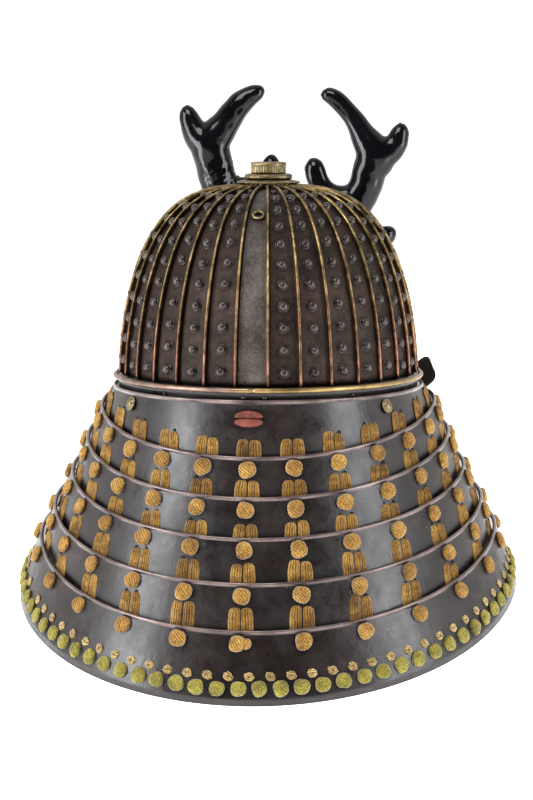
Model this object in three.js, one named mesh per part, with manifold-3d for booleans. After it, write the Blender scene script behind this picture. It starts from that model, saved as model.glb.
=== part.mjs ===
// A samurai helmet: a riveted iron bowl of ridged plates with an open crown ornament, a waist plate
// and visor, a neck guard of six laced lames, and a pair of carved antlers in a holder at the front.
// Millimetres, +Z up. The front of the helmet faces -Y, its back +Y. The origin is the centre of the
// bowl's rim, where the helmet sits on a head. Angles around the helmet are measured from the back,
// positive towards -X.

import * as THREE from 'three';
import { mergeVertices } from 'three/addons/utils/BufferGeometryUtils.js';
import Module from 'manifold-3d';

const wasm = await Module();
wasm.setup();

// ---------------------------------------------------------------- driving dimensions
const GAP = 0.3;                      // clearance kept between pieces that touch

const PLATE_COUNT = 32;
const PLATE_WALL = 1.5;
const PLATE_STEPS = 7;                // facets from rim to crown
const RIDGE_WIDTH = 1.6;
const RIDGE_HEIGHT = 3;
const BOWL_HALF_WIDTH = 99;           // of the dome, without the flare towards the rim
const BOWL_FLARE = 3.5;
const BOWL_FULLNESS = 0.56;           // exponent of the cosine: less is squarer
const BOWL_LENGTH_RATIO = 1.145;      // front-to-back over side-to-side
const BOWL_BASE = 2.2;
const BOWL_TOP = 130;
const CROWN_LATITUDE = 87;            // degrees up the dome where the plates stop

const RIM_WIRE_RADIUS = 1.9;
const RIM_HALF_WIDTH = 107.3;
const RIM_HALF_LENGTH = 121.3;
const RIM_WIRE_HEIGHT = -0.1;
const RIM_STEPS = 44;

const WAIST = { halfWidth: 105.0, halfLength: 119.0, wall: 1.5, top: -2.4, bottom: -24 };

const LAME_WALL = 1.4;
const LAME_GAP = 2.8;                 // room for the lacing between two lames
const LAME_OVERLAP = 8;               // how far a lame hides under the next one
const LAME_STEP = 7.35;               // degrees per facet, half a lacing pitch
const LIP_HEIGHT = 2.4;               // the rolled top edge of a lame
const LIP_PROUD = 1.1;
const LIP_FOOT = 3.2;                 // below its top edge, where a lame's plain face starts

// Where each lame starts at its top, and where the last one ends. Height is taken at the back, and
// rise is how much higher the same edge runs at the sides.
const RINGS = [
  { halfWidth: 107.4, halfLength: 121.4, height: -6.4, rise: 0 },
  { halfWidth: 116.6, halfLength: 130.0, height: -43.1, rise: 27 },
  { halfWidth: 126.7, halfLength: 140.4, height: -68.5, rise: 31 },
  { halfWidth: 137.5, halfLength: 150.4, height: -93.9, rise: 33 },
  { halfWidth: 150.0, halfLength: 164.0, height: -121.4, rise: 38 },
  { halfWidth: 159.8, halfLength: 175.5, height: -150.6, rise: 47.5 },
  { halfWidth: 175.6, halfLength: 189.0, height: -197.3, rise: 54.5 },
];
const RISE_LIMIT = 1.1;               // the edges level out towards the face
const RISE_SHARPNESS = 6;

const LACE_PITCH = 14.7;              // degrees between lacing columns
const LACE_COLUMNS_EACH_SIDE = 7;
const LACE_START = -1;                // the middle column sits a little off the middle of the back
// Beads on a thread: half their width, how far they reach up and down from the thread, and how
// thick they are above the face that they lie on. The thread runs at their foot.
const TAB = { half: 8.5, up: 25, down: 0.6, out: [0.3, 1.3], thread: [-3, -1.8, 0.5, 1.1] };
const TAB_ABOVE = [15.5, 12.2, 11.8, 16, 17];   // how far each row shows above the lower lame
const KNOT = { half: 6.2, up: 4.9, down: 6, out: [0.4, 4.5], thread: [-0.7, 0.7, 0.9, 1.8] };
const KNOT_BELOW = 8.4;               // from a lame's top edge to the middle of its knots
const EDGE_KNOT = { ...KNOT, half: 5.9, up: 5.9, down: 5.9, out: [0.4, 4.0] };
const EDGE_PITCH = 4.6;
const EDGE_KNOTS_EACH_SIDE = 22;
const EDGE_KNOTS_ABOVE = 11;          // from the lower edge to the middle of the knots

const TURN_BACK = { radius: 5, bend: 125, width: 17, rise: -5, drop: 2 };

const VISOR = { halfAngle: 56, reach: 38, drop: 20, wall: 1.6, steps: 16 };

const ANTLER_PLANE = -135;            // how far forward the antlers stand
const HOLDER = { halfWidth: 24, front: -141, back: -129, top: 24 };

// ---------------------------------------------------------------- small helpers
const radians = THREE.MathUtils.degToRad;
const vec = (x, y, z) => new THREE.Vector3(x, y, z);

function material(color, roughness, metalness) {
  return new THREE.MeshStandardMaterial({ color, roughness, metalness });
}

const IRON = material(0x4a3a33, 0.55, 0.6);
const LACQUER = material(0x3a302d, 0.35, 0.3);
const BLACK_LACQUER = material(0x08080a, 0.15, 0.0);
const GILT = material(0x9c7c46, 0.4, 0.8);
const BRASS = material(0x8d7a4a, 0.45, 0.8);
const OCHRE_LACE = material(0xa8803a, 0.9, 0.0);
const GREEN_LACE = material(0x9a9440, 0.9, 0.0);
const RED_LEATHER = material(0x8a4a3c, 0.7, 0.0);

function geometryFrom(points, index) {
  const geometry = new THREE.BufferGeometry();
  const flat = points.flatMap((p) => [p.x, p.y, p.z]);
  geometry.setAttribute('position', new THREE.Float32BufferAttribute(flat, 3));
  geometry.setIndex(index);
  return geometry;
}

function signedVolume(points, index) {
  let total = 0;
  for (let i = 0; i < index.length; i += 3) {
    const [a, b, c] = [points[index[i]], points[index[i + 1]], points[index[i + 2]]];
    total += a.dot(vec(0, 0, 0).crossVectors(b, c));
  }
  return total / 6;
}

// A closed body through sections with equal numbers of points. An open sweep gets flat caps,
// triangulated in the plane of the outline; a ring joins its last section to its first.
function sweptBody(sections, outline, ring = false) {
  const count = sections[0].length;
  const points = sections.flat();
  const index = [];
  const spans = ring ? sections.length : sections.length - 1;
  for (let s = 0; s < spans; s += 1) {
    const here = s * count;
    const next = ((s + 1) % sections.length) * count;
    for (let i = 0; i < count; i += 1) {
      const j = (i + 1) % count;
      index.push(here + i, here + j, next + j, here + i, next + j, next + i);
    }
  }
  if (!ring) {
    const last = (sections.length - 1) * count;
    for (const [a, b, c] of capTriangles(outline)) {
      index.push(c, b, a, last + a, last + b, last + c);
    }
  }
  if (signedVolume(points, index) < 0) turnInsideOut(index);
  return geometryFrom(points, index);
}

function turnInsideOut(index) {
  for (let i = 0; i < index.length; i += 3) {
    [index[i + 1], index[i + 2]] = [index[i + 2], index[i + 1]];
  }
}

// Triangles that fill an outline, wound the way the outline runs.
function capTriangles(outline) {
  const forward = THREE.ShapeUtils.area(outline) > 0;
  return THREE.ShapeUtils.triangulateShape(outline, []).map(([a, b, c]) => {
    const area = THREE.ShapeUtils.area([outline[a], outline[b], outline[c]]);
    return (area > 0) === forward ? [a, b, c] : [a, c, b];
  });
}

function toSolid(geometry) {
  const bare = geometry.clone();
  bare.deleteAttribute('normal');
  bare.deleteAttribute('uv');
  const merged = mergeVertices(bare, 1e-4);
  return new wasm.Manifold(new wasm.Mesh({
    numProp: 3,
    vertProperties: merged.attributes.position.array,
    triVerts: Uint32Array.from(merged.index.array),
  }));
}

function fromSolid(solid) {
  const mesh = solid.getMesh();
  const geometry = new THREE.BufferGeometry();
  const array = Float32Array.from(mesh.vertProperties);
  geometry.setAttribute('position', new THREE.BufferAttribute(array, 3));
  geometry.setIndex([...mesh.triVerts]);
  return geometry;
}

function joined(geometries) {
  return geometries.map(toSolid).reduce((whole, piece) => whole.add(piece));
}

const group = new THREE.Group();

function addPiece(name, geometry, finish) {
  const mesh = new THREE.Mesh(geometry, finish);
  mesh.name = name;
  group.add(mesh);
  return mesh;
}

// A right-handed set of directions at a point, and points given in it.
function framePoint(frame, along, down, out) {
  return frame.origin.clone()
    .addScaledVector(frame.along, along)
    .addScaledVector(frame.down, down)
    .addScaledVector(frame.out, out);
}

function boxIn(frame, [a0, a1], [d0, d1], [o0, o1]) {
  const section = (along) => [
    framePoint(frame, along, d0, o0), framePoint(frame, along, d1, o0),
    framePoint(frame, along, d1, o1), framePoint(frame, along, d0, o1),
  ];
  const square = [[0, 0], [1, 0], [1, 1], [0, 1]].map(([x, y]) => new THREE.Vector2(x, y));
  return sweptBody([section(a0), section(a1)], square);
}

// A low dome whose axis is the frame's outward direction.
function domeIn(frame, down, radius, height, sides) {
  const profile = [
    new THREE.Vector2(0, GAP), new THREE.Vector2(radius * 0.78, GAP),
    new THREE.Vector2(radius, height * 0.5), new THREE.Vector2(0, GAP + height),
  ];
  const dome = new THREE.LatheGeometry(profile, sides);
  const centre = framePoint(frame, 0, down, 0);
  const basis = new THREE.Matrix4().makeBasis(frame.down, frame.out, frame.along);
  basis.setPosition(centre);
  dome.applyMatrix4(basis);
  return dome;
}

// ---------------------------------------------------------------- the bowl
function domePoint(angle, latitude) {
  const width = BOWL_HALF_WIDTH * Math.cos(latitude) ** BOWL_FULLNESS
    + BOWL_FLARE * (1 - Math.sin(latitude));
  return vec(
    -width * Math.sin(angle),
    width * BOWL_LENGTH_RATIO * Math.cos(angle),
    BOWL_BASE + (BOWL_TOP - BOWL_BASE) * Math.sin(latitude),
  );
}

function domeNormal(angle, latitude) {
  const step = 1e-4;
  const across = domePoint(angle + step, latitude).sub(domePoint(angle - step, latitude));
  const up = domePoint(angle, latitude + step).sub(domePoint(angle, latitude - step));
  const normal = across.cross(up).normalize();
  return normal.dot(domePoint(angle, latitude)) < 0 ? normal.negate() : normal;
}

// Angles that divide an ellipse's outline into equal lengths, starting half a part before the back.
function equalArcAngles(halfWidth, halfLength, parts) {
  const fine = 7200;
  const lengths = [0];
  const at = (i) => [halfWidth * Math.sin(2 * Math.PI * i / fine),
    halfLength * Math.cos(2 * Math.PI * i / fine)];
  for (let i = 1; i <= fine; i += 1) {
    const [x0, y0] = at(i - 1);
    const [x1, y1] = at(i);
    lengths.push(lengths[i - 1] + Math.hypot(x1 - x0, y1 - y0));
  }
  const angleAt = (length) => {
    const i = lengths.findIndex((value) => value >= length);
    return 2 * Math.PI * i / fine;
  };
  const half = angleAt(lengths[fine] / parts / 2);
  const angles = [-half];
  for (let k = 1; k <= parts; k += 1) {
    angles.push(angleAt(lengths[fine] * (k - 0.5) / parts));
  }
  return angles;
}

// One plate: a strip of the dome, with the ridge that stands up along one of its edges.
function bowlPlate(from, to) {
  const outline = [[0, 0], [0.8, 0], [0.8, 1], [1, 1], [1, -0.5], [0, -0.5]]
    .map(([x, y]) => new THREE.Vector2(x, y));
  const sections = [];
  for (let step = 0; step <= PLATE_STEPS; step += 1) {
    const latitude = radians(CROWN_LATITUDE) * step / PLATE_STEPS;
    const width = domePoint(from, latitude).distanceTo(domePoint(to, latitude));
    const at = (inset, offset) => {
      const angle = THREE.MathUtils.lerp(from, to, inset);
      return domePoint(angle, latitude).addScaledVector(domeNormal(angle, latitude), offset);
    };
    const margin = GAP / 2 / width;
    const end = 1 - margin;
    const ridge = end - RIDGE_WIDTH / width;
    sections.push([at(margin, 0), at(ridge, 0), at(ridge, RIDGE_HEIGHT),
      at(end, RIDGE_HEIGHT), at(end, -PLATE_WALL), at(margin, -PLATE_WALL)]);
  }
  return sweptBody(sections, outline);
}

function buildBowl() {
  const angles = equalArcAngles(
    BOWL_HALF_WIDTH + BOWL_FLARE,
    (BOWL_HALF_WIDTH + BOWL_FLARE) * BOWL_LENGTH_RATIO,
    PLATE_COUNT,
  );
  for (let k = 0; k < PLATE_COUNT; k += 1) {
    const number = String(k + 1).padStart(2, '0');
    addPiece(`bowl_plate_${number}`, bowlPlate(angles[k], angles[k + 1]), IRON);
  }
}

function ellipseRing(halfWidth, halfLength, outline, steps) {
  const sections = [];
  for (let s = 0; s < steps; s += 1) {
    const angle = 2 * Math.PI * s / steps;
    sections.push(outline.map(({ x: out, y: height }) => vec(
      -(halfWidth + out) * Math.sin(angle),
      (halfLength + out) * Math.cos(angle),
      height,
    )));
  }
  return sweptBody(sections, outline, true);
}

function buildRim() {
  const wire = [];
  for (let i = 0; i < 6; i += 1) {
    const turn = Math.PI * i / 3;
    wire.push(new THREE.Vector2(
      RIM_WIRE_RADIUS * Math.cos(turn),
      RIM_WIRE_HEIGHT + RIM_WIRE_RADIUS * Math.sin(turn),
    ));
  }
  addPiece('bowl_rim_wire', ellipseRing(RIM_HALF_WIDTH, RIM_HALF_LENGTH, wire, RIM_STEPS), GILT);

  const band = [[-WAIST.wall, WAIST.bottom], [0, WAIST.bottom], [0, WAIST.top],
    [-WAIST.wall, WAIST.top]].map(([x, y]) => new THREE.Vector2(x, y));
  const plate = ellipseRing(WAIST.halfWidth, WAIST.halfLength, band, RIM_STEPS);
  addPiece('waist_plate', plate, LACQUER);
}

// ---------------------------------------------------------------- the crown ornament
// Three soldered tiers around the open crown: a wide base, a fluted ring and a collar.
function buildCrown() {
  const profile = [[9, 133.2], [21.5, 133.2], [21.5, 135.4], [16.5, 136.6], [16.5, 139.8],
    [12.5, 140.8], [12.5, 148.2], [9, 148.2], [9, 133.2]]
    .map(([x, y]) => new THREE.Vector2(x, y));
  const ornament = new THREE.LatheGeometry(profile, 24);
  ornament.rotateX(Math.PI / 2);
  addPiece('crown_ornament', ornament, BRASS);
}

// ---------------------------------------------------------------- the neck guard
// How far an edge has risen at an angle from the back, as a share of its rise.
function riseShare(angle) {
  const level = 1 - Math.cos(angle);
  return level / (1 + (level / RISE_LIMIT) ** RISE_SHARPNESS) ** (1 / RISE_SHARPNESS);
}

function ringPoint(ring, angle) {
  return vec(
    -ring.halfWidth * Math.sin(angle),
    ring.halfLength * Math.cos(angle),
    ring.height + ring.rise * riseShare(angle),
  );
}

// Directions on a lame's outer face: along the lame, down its slope, and out of it.
function lameFrame(number, angle) {
  const top = ringPoint(RINGS[number - 1], angle);
  const down = ringPoint(RINGS[number], angle).sub(top).normalize();
  const step = 1e-3;
  const along = ringPoint(RINGS[number - 1], angle + step)
    .sub(ringPoint(RINGS[number - 1], angle - step)).normalize();
  const out = along.clone().cross(down).normalize();
  if (out.dot(vec(top.x, top.y, 0)) < 0) out.negate();
  along.copy(down).cross(out).normalize();
  return { origin: top, along, down, out };
}

// The hidden lower edge of a lame: its plain face clears the next lame's top edge by the lacing's
// room, and runs straight on behind it.
function tuckedEdge(number, angle) {
  if (number === RINGS.length - 1) return ringPoint(RINGS[number], angle);
  const foot = framePoint(lameFrame(number, angle), 0, LIP_FOOT, 0);
  const behind = framePoint(lameFrame(number + 1, angle), 0, 0, -(LAME_WALL + LAME_GAP));
  const down = behind.clone().sub(foot).normalize();
  return behind.addScaledVector(down, LAME_OVERLAP);
}

// The same directions on the plain face between a lame's rolled edge and its tucked edge.
function faceFrame(number, angle) {
  const frame = lameFrame(number, angle);
  const foot = framePoint(frame, 0, LIP_FOOT, 0);
  const down = tuckedEdge(number, angle).sub(foot).normalize();
  const out = frame.along.clone().cross(down).normalize();
  if (out.dot(frame.out) < 0) out.negate();
  const along = down.clone().cross(out).normalize();
  return { origin: foot, along, down, out };
}

function lameSection(number, angle) {
  const frame = lameFrame(number, angle);
  const low = { ...frame, origin: tuckedEdge(number, angle) };
  return [
    framePoint(frame, 0, 0, -LAME_WALL),
    framePoint(frame, 0, 0, LIP_PROUD),
    framePoint(frame, 0, LIP_HEIGHT, LIP_PROUD * 0.7),
    framePoint(frame, 0, LIP_FOOT, 0),
    framePoint(low, 0, 0, 0),
    framePoint(low, 0, 0, -LAME_WALL),
  ];
}

const LAME_OUTLINE = [[0, 0], [1, 0], [0.9, 1], [0.6, 1.2], [0.6, 9], [0, 9]]
  .map(([x, y]) => new THREE.Vector2(x, y));

// The upper lames reach a little further forward than the lower ones.
function lameHalfSteps(number) {
  return number < 4 ? 16 : 15;
}

// The first lame's ends turn outwards and back in a small flange on each side of the face.
function turnedSections(angle) {
  const side = Math.sign(angle);
  const end = lameFrame(1, angle);
  const forward = end.along.clone();
  if (forward.dot(vec(0, -1, 0)) < 0) forward.negate();
  const bottom = tuckedEdge(1, angle);
  const sections = [];
  const bendSteps = 4;
  for (let step = 1; step <= bendSteps + 2; step += 1) {
    const bend = radians(TURN_BACK.bend) * Math.min(step / bendSteps, 1);
    const run = Math.max(step - bendSteps, 0) * TURN_BACK.width / 2;
    const forwardShift = TURN_BACK.radius * Math.sin(bend) + run * Math.cos(bend);
    const outShift = TURN_BACK.radius * (1 - Math.cos(bend)) + run * Math.sin(bend);
    const shift = forward.clone().multiplyScalar(forwardShift).addScaledVector(end.out, outShift);
    const out = end.out.clone().multiplyScalar(Math.cos(bend))
      .addScaledVector(forward, -Math.sin(bend));
    const grown = Math.min(step / (bendSteps + 1), 1);
    const high = end.origin.clone().add(shift);
    high.z += TURN_BACK.rise * grown;
    const low = bottom.clone().add(shift);
    low.z -= TURN_BACK.drop * grown;
    const at = (share, offset) => high.clone().lerp(low, share).addScaledVector(out, offset);
    sections.push([at(0, -LAME_WALL), at(0, 0), at(0.1, 0), at(0.14, 0), at(1, 0),
      at(1, -LAME_WALL)]);
  }
  return side > 0 ? sections : sections.reverse();
}

function laceAngles() {
  const angles = [];
  for (let k = LACE_COLUMNS_EACH_SIDE; k >= -LACE_COLUMNS_EACH_SIDE; k -= 1) {
    angles.push(radians(LACE_PITCH * k + LACE_START));
  }
  return angles;
}

function lame(number) {
  const halfSteps = lameHalfSteps(number);
  const sections = [];
  for (let s = -halfSteps; s <= halfSteps; s += 1) {
    sections.push(lameSection(number, radians(LAME_STEP * s)));
  }
  if (number === 1) {
    const end = radians(LAME_STEP * halfSteps);
    sections.push(...turnedSections(end));
    sections.unshift(...turnedSections(-end));
  }
  return sweptBody(sections, LAME_OUTLINE);
}

// Flat or domed beads joined along the thread that they share. Each is blunt at its two sides. The
// way is 1 for a row whose frames run against their own along direction, and -1 for one with it.
function beadedRow(frames, bead, way) {
  const threadSection = (frame, along) => {
    const [up, down, low, high] = bead.thread;
    return [[up, low], [down, low], [down, high], [up, high]]
      .map(([d, out]) => framePoint(frame, along, d, out));
  };
  const domed = bead === TAB ? 0 : 0.4;
  const beadSection = (frame, along) => {
    const [low, high] = bead.out;
    const inset = domed * bead.half;
    const up = Math.min(bead.up, frame.room ?? bead.up);
    return [[-up, low], [bead.down, low], [bead.down - inset, high], [inset - up, high]]
      .map(([d, out]) => framePoint(frame, along, d, out));
  };
  const blunt = bead === TAB ? bead.half - 0.6 : bead.half * 0.5;
  const sections = frames.flatMap((frame) => [
    threadSection(frame, way * bead.half),
    beadSection(frame, way * blunt),
    beadSection(frame, way * -blunt),
    threadSection(frame, way * -bead.half),
  ]);
  const square = [[0, 0], [1, 0], [1, 1], [0, 1]].map(([x, y]) => new THREE.Vector2(x, y));
  return sweptBody(sections, square);
}

// Pairs of cords lie on the upper lame and dip into the gap behind the lower one. Where the lame is
// low, towards the face, they are cut short below its rolled edge or the knots that it carries.
function lacingRow(number) {
  return beadedRow(laceAngles().map((angle) => {
    const frame = faceFrame(number, angle);
    const origin = tuckedEdge(number, angle);
    const taken = number === 1 ? 1 : KNOT_BELOW - LIP_FOOT + KNOT.down + 0.8;
    const free = origin.distanceTo(frame.origin) - taken;
    return { ...frame, origin, room: Math.min(free, TAB_ABOVE[number - 1] + LAME_OVERLAP) };
  }), TAB, -1);
}

function knotRow(number) {
  return beadedRow(laceAngles().map((angle) => {
    const frame = faceFrame(number, angle);
    return { ...frame, origin: framePoint(frame, 0, KNOT_BELOW - LIP_FOOT, 0) };
  }), KNOT, -1);
}

function edgeKnotRow() {
  const last = RINGS.length - 1;
  const frames = [];
  for (let k = EDGE_KNOTS_EACH_SIDE; k >= -EDGE_KNOTS_EACH_SIDE; k -= 1) {
    const angle = radians(EDGE_PITCH * k + LACE_START);
    const frame = faceFrame(last, angle);
    const bottom = tuckedEdge(last, angle);
    frames.push({ ...frame, origin: bottom.addScaledVector(frame.down, -EDGE_KNOTS_ABOVE) });
  }
  return beadedRow(frames, EDGE_KNOT, -1);
}

function buildNeckGuard() {
  for (let number = 1; number < RINGS.length; number += 1) {
    addPiece(`neck_lame_${number}`, lame(number), LACQUER);
  }
  for (let number = 1; number < RINGS.length - 1; number += 1) {
    addPiece(`lacing_row_${number}`, lacingRow(number), OCHRE_LACE);
    addPiece(`knot_row_${number}`, knotRow(number + 1), OCHRE_LACE);
  }
  addPiece('edge_knot_row', edgeKnotRow(), GREEN_LACE);
}

// ---------------------------------------------------------------- fittings on bowl and first lame
function buildFittings() {
  const studAngle = 52;
  const studDown = 6;
  for (const [name, side] of [['stud_left', 1], ['stud_right', -1]]) {
    const frame = lameFrame(1, radians(side * studAngle));
    addPiece(name, domeIn(frame, studDown + LIP_HEIGHT, 4.2, 3.4, 10), BRASS);
  }

  const knotFrame = lameFrame(1, radians(-1));
  const loop = new THREE.SphereGeometry(1, 10, 6);
  loop.scale(9.5, 4.9, 2.4);
  const basis = new THREE.Matrix4()
    .makeBasis(knotFrame.along, knotFrame.down, knotFrame.out);
  basis.setPosition(framePoint(knotFrame, 0, 12.5, 2.4 + GAP));
  loop.applyMatrix4(basis);
  addPiece('back_knot', loop, RED_LEATHER);

  const latitude = radians(62);
  const centre = domePoint(0, latitude);
  const normal = domeNormal(0, latitude);
  const along = vec(1, 0, 0);
  const down = along.clone().cross(normal).normalize();
  if (down.z > 0) down.negate();
  const frame = { origin: centre, along, down, out: normal };
  const staple = boxIn(frame, [-1.2, 1.2], [-4, 0.4], [GAP, 3]);
  const ring = new THREE.TorusGeometry(3.6, 0.8, 5, 12);
  const place = new THREE.Matrix4().makeBasis(down.clone().cross(normal), down, normal);
  place.setPosition(framePoint(frame, 0, 3.2, 1.6));
  ring.applyMatrix4(place);
  addPiece('back_ring', fromSolid(joined([staple, ring])), BRASS);
}

function buildVisor() {
  const sections = [];
  for (let s = 0; s <= VISOR.steps; s += 1) {
    const fromFront = radians(VISOR.halfAngle) * (2 * s / VISOR.steps - 1);
    const share = Math.cos(fromFront * 90 / VISOR.halfAngle) ** 0.6;
    const reach = 6 + (VISOR.reach - 6) * share;
    const fall = VISOR.drop * reach / VISOR.reach;
    const at = (out, height) => vec(
      (RINGS[0].halfWidth + out) * Math.sin(fromFront),
      -(RINGS[0].halfLength + out) * Math.cos(fromFront),
      height,
    );
    const top = RINGS[0].height;
    sections.push([at(0, top), at(reach, top - fall), at(reach, top - fall - VISOR.wall),
      at(-1.4, top - 2 * VISOR.wall), at(-1.4, top)]);
  }
  const outline = [[0, 0], [9, -4], [9, -5], [-1, -3], [-1, 0]]
    .map(([x, y]) => new THREE.Vector2(x, y));
  addPiece('visor', sweptBody(sections, outline), LACQUER);
}

// ---------------------------------------------------------------- the antlers
// A branch is a row of [x, z, radius]; a beam runs up from the holder, and tines leave it.
const LEFT_ANTLER = [
  [[12, 20, 8], [17, 42, 8.5], [32, 72, 10], [43, 100, 11.5], [48, 124, 13], [53, 143, 13.5],
    [55, 158, 14], [44, 174, 10.5], [38, 183, 9.3], [31, 191, 8.4], [18, 199, 5.2]],
  [[56, 156, 14], [67, 167, 9.5], [72, 179, 7.2], [74, 185, 5]],
  [[46, 126, 10.5], [30, 124.5, 9], [18, 129.5, 8.4], [11, 138, 8], [9.3, 148, 5.6]],
  [[42, 92, 10], [58, 84, 9], [70, 86, 8], [78, 94, 6]],
];
const RIGHT_ANTLER = [
  [[-12, 20, 8], [-17, 42, 8.5], [-30, 66, 10], [-46, 92, 11], [-53, 110, 11.5],
    [-60, 125, 12], [-64, 140, 12.5], [-68, 150, 14], [-58.5, 166, 9], [-53, 176, 7.6],
    [-46, 184.5, 6.6], [-37.5, 193, 5.9], [-30, 196.5, 5]],
  [[-69, 149, 14], [-82, 157, 9], [-86, 165, 7.2], [-88, 171.5, 5.4]],
  [[-58, 120, 10.5], [-46, 118, 9.5], [-34, 121, 8.6], [-26.5, 129, 8], [-23, 139, 7.2],
    [-21.5, 145.5, 5.6]],
  [[-42, 88, 10], [-58, 83, 9], [-70, 85, 8], [-80, 93.5, 6.4]],
];
const BRANCH_SIDES = 8;

function branchBody(knots) {
  const points = knots.map(([x, z]) => new THREE.Vector2(x, z));
  const sections = knots.map(([x, z, radius], i) => {
    const before = points[Math.max(i - 1, 0)];
    const after = points[Math.min(i + 1, points.length - 1)];
    const along = after.clone().sub(before).normalize();
    const section = [];
    for (let k = 0; k < BRANCH_SIDES; k += 1) {
      const turn = 2 * Math.PI * (k + 0.5) / BRANCH_SIDES;
      const wide = radius * Math.cos(turn);
      section.push(vec(x + along.y * wide, ANTLER_PLANE + 0.85 * radius * Math.sin(turn),
        z - along.x * wide));
    }
    return section;
  });
  const last = knots.length - 1;
  const tipAlong = points[last].clone().sub(points[last - 1]).normalize();
  const [, , tipRadius] = knots[last];
  sections.push(sections[last].map((p) => vec(
    THREE.MathUtils.lerp(p.x, points[last].x, 0.55) + tipAlong.x * tipRadius * 0.85,
    THREE.MathUtils.lerp(p.y, ANTLER_PLANE, 0.55),
    THREE.MathUtils.lerp(p.z, points[last].y, 0.55) + tipAlong.y * tipRadius * 0.85,
  )));
  const outline = sections[0].map((p, k) => {
    const turn = 2 * Math.PI * (k + 0.5) / BRANCH_SIDES;
    return new THREE.Vector2(Math.cos(turn), Math.sin(turn));
  });
  return sweptBody(sections, outline);
}

function antler(branches) {
  const whole = joined(branches.map(branchBody));
  const box = new THREE.BoxGeometry(200, 60, 60);
  box.translate(0, ANTLER_PLANE, HOLDER.top + GAP - 30);
  return fromSolid(whole.subtract(toSolid(box)));
}

function buildCrest() {
  addPiece('antler_left', antler(LEFT_ANTLER), BLACK_LACQUER);
  addPiece('antler_right', antler(RIGHT_ANTLER), BLACK_LACQUER);
  const slope = VISOR.drop / VISOR.reach;
  const visorTop = (y) => RINGS[0].height - slope * (-y - RINGS[0].halfLength);
  const side = [[HOLDER.back, visorTop(HOLDER.back) + 1.2], [HOLDER.back, HOLDER.top],
    [HOLDER.front, HOLDER.top], [HOLDER.front, visorTop(HOLDER.front) + 1.2]];
  const sections = [-HOLDER.halfWidth, HOLDER.halfWidth]
    .map((x) => side.map(([y, z]) => vec(x, y, z)));
  const outline = side.map(([y, z]) => new THREE.Vector2(y, z));
  addPiece('crest_holder', sweptBody(sections, outline), LACQUER);
}

buildBowl();
buildRim();
buildCrown();
buildNeckGuard();
buildFittings();
buildVisor();
buildCrest();

export default group;
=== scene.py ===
"""A samurai helmet seen from behind: ridged and riveted iron bowl, laced neck guard, black antlers.

Shapes are worked out in millimetres in the CAD's frame (+Z up, front -Y) and made in metres.
Angles around the helmet are measured from the back, positive towards -X."""
import math
import random

import bpy
import numpy as np
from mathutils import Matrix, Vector


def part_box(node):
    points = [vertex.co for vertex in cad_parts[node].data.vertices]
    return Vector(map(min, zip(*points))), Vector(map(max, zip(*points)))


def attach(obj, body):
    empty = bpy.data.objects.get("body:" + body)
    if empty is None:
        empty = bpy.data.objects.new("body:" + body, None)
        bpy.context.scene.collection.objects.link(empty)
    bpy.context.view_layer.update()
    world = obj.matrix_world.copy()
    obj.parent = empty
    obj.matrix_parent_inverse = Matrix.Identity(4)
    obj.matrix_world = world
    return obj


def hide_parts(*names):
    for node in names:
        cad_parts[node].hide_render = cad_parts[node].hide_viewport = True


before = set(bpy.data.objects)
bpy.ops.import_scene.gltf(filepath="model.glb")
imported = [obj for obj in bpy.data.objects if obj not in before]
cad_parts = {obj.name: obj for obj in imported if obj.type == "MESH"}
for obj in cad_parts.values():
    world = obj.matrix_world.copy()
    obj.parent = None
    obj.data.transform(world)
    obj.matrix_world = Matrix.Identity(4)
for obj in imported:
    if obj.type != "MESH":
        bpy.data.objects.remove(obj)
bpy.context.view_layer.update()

MM = 0.001
rng = random.Random(7)

# ---- dimensions
# Lengths are in millimetres. RIDGE_WIDTH, RIM_WIRE_RADIUS, TAB_ABOVE and TURN_RISE differ a little
# from the CAD's.
PLATE_COUNT = 32
PLATE_WALL = 1.5
BOWL_HALF_WIDTH, BOWL_FLARE, BOWL_FULLNESS = 99, 3.5, 0.56
BOWL_LENGTH_RATIO = 1.145
BOWL_BASE, BOWL_TOP = 2.2, 130
CROWN_LATITUDE = math.radians(87)
RIDGE_WIDTH = 1.35
PLATE_SEAM = 0.01  # between one plate and the next
RIVET_START, RIVET_PITCH, NARROWEST_RIVETED = 9.3, 14.9, 6.0
RIM = (107.3, 121.3, -0.1)  # half width, half length and height of the rim wire
RIM_WIRE_RADIUS = 1.75
RIM_JOINT = 0.7  # between the wire's two ends
WAIST = (105.0, 119.0)
WAIST_PIN_ANGLES, WAIST_PIN_HEIGHT, WAIST_PIN_SIZE = (-0.055, 0.075, -0.62, 0.66), -4.9, 0.42
LAME_WALL, LAME_GAP, LAME_OVERLAP, LIP_FOOT = 1.4, 2.8, 8, 3.2
# half width, half length, height at the back, rise at the sides
RINGS = (
    (107.4, 121.4, -6.4, 0), (116.6, 130.0, -43.1, 27), (126.7, 140.4, -68.5, 31),
    (137.5, 150.4, -93.9, 33), (150.0, 164.0, -121.4, 38), (159.8, 175.5, -150.6, 47.5),
    (175.6, 189.0, -197.3, 54.5),
)
RISE_LIMIT, RISE_SHARPNESS = 1.1, 6
LAME_STEP, LAME_DIVISIONS = math.radians(7.35), 12
LACE_PITCH, LACE_START = math.radians(14.7), math.radians(-1)
LACE_COLUMNS = range(-7, 8)
TAB_ABOVE = (13.0, 11.6, 11.2, 14.6, 17)
KNOT_BELOW = 8.4
EDGE_KNOTS = range(-22, 23)
EDGE_PITCH, EDGE_KNOTS_ABOVE = math.radians(4.6), 11
CROSS_KNOTS_ABOVE = 8.0  # over the edge knots
MISSING_CROSS_KNOTS = (-17, -15)
STUD_ANGLE, RING_LATITUDE = math.radians(52), math.radians(62)
BACK_KNOT_BELOW = 12.5
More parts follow.
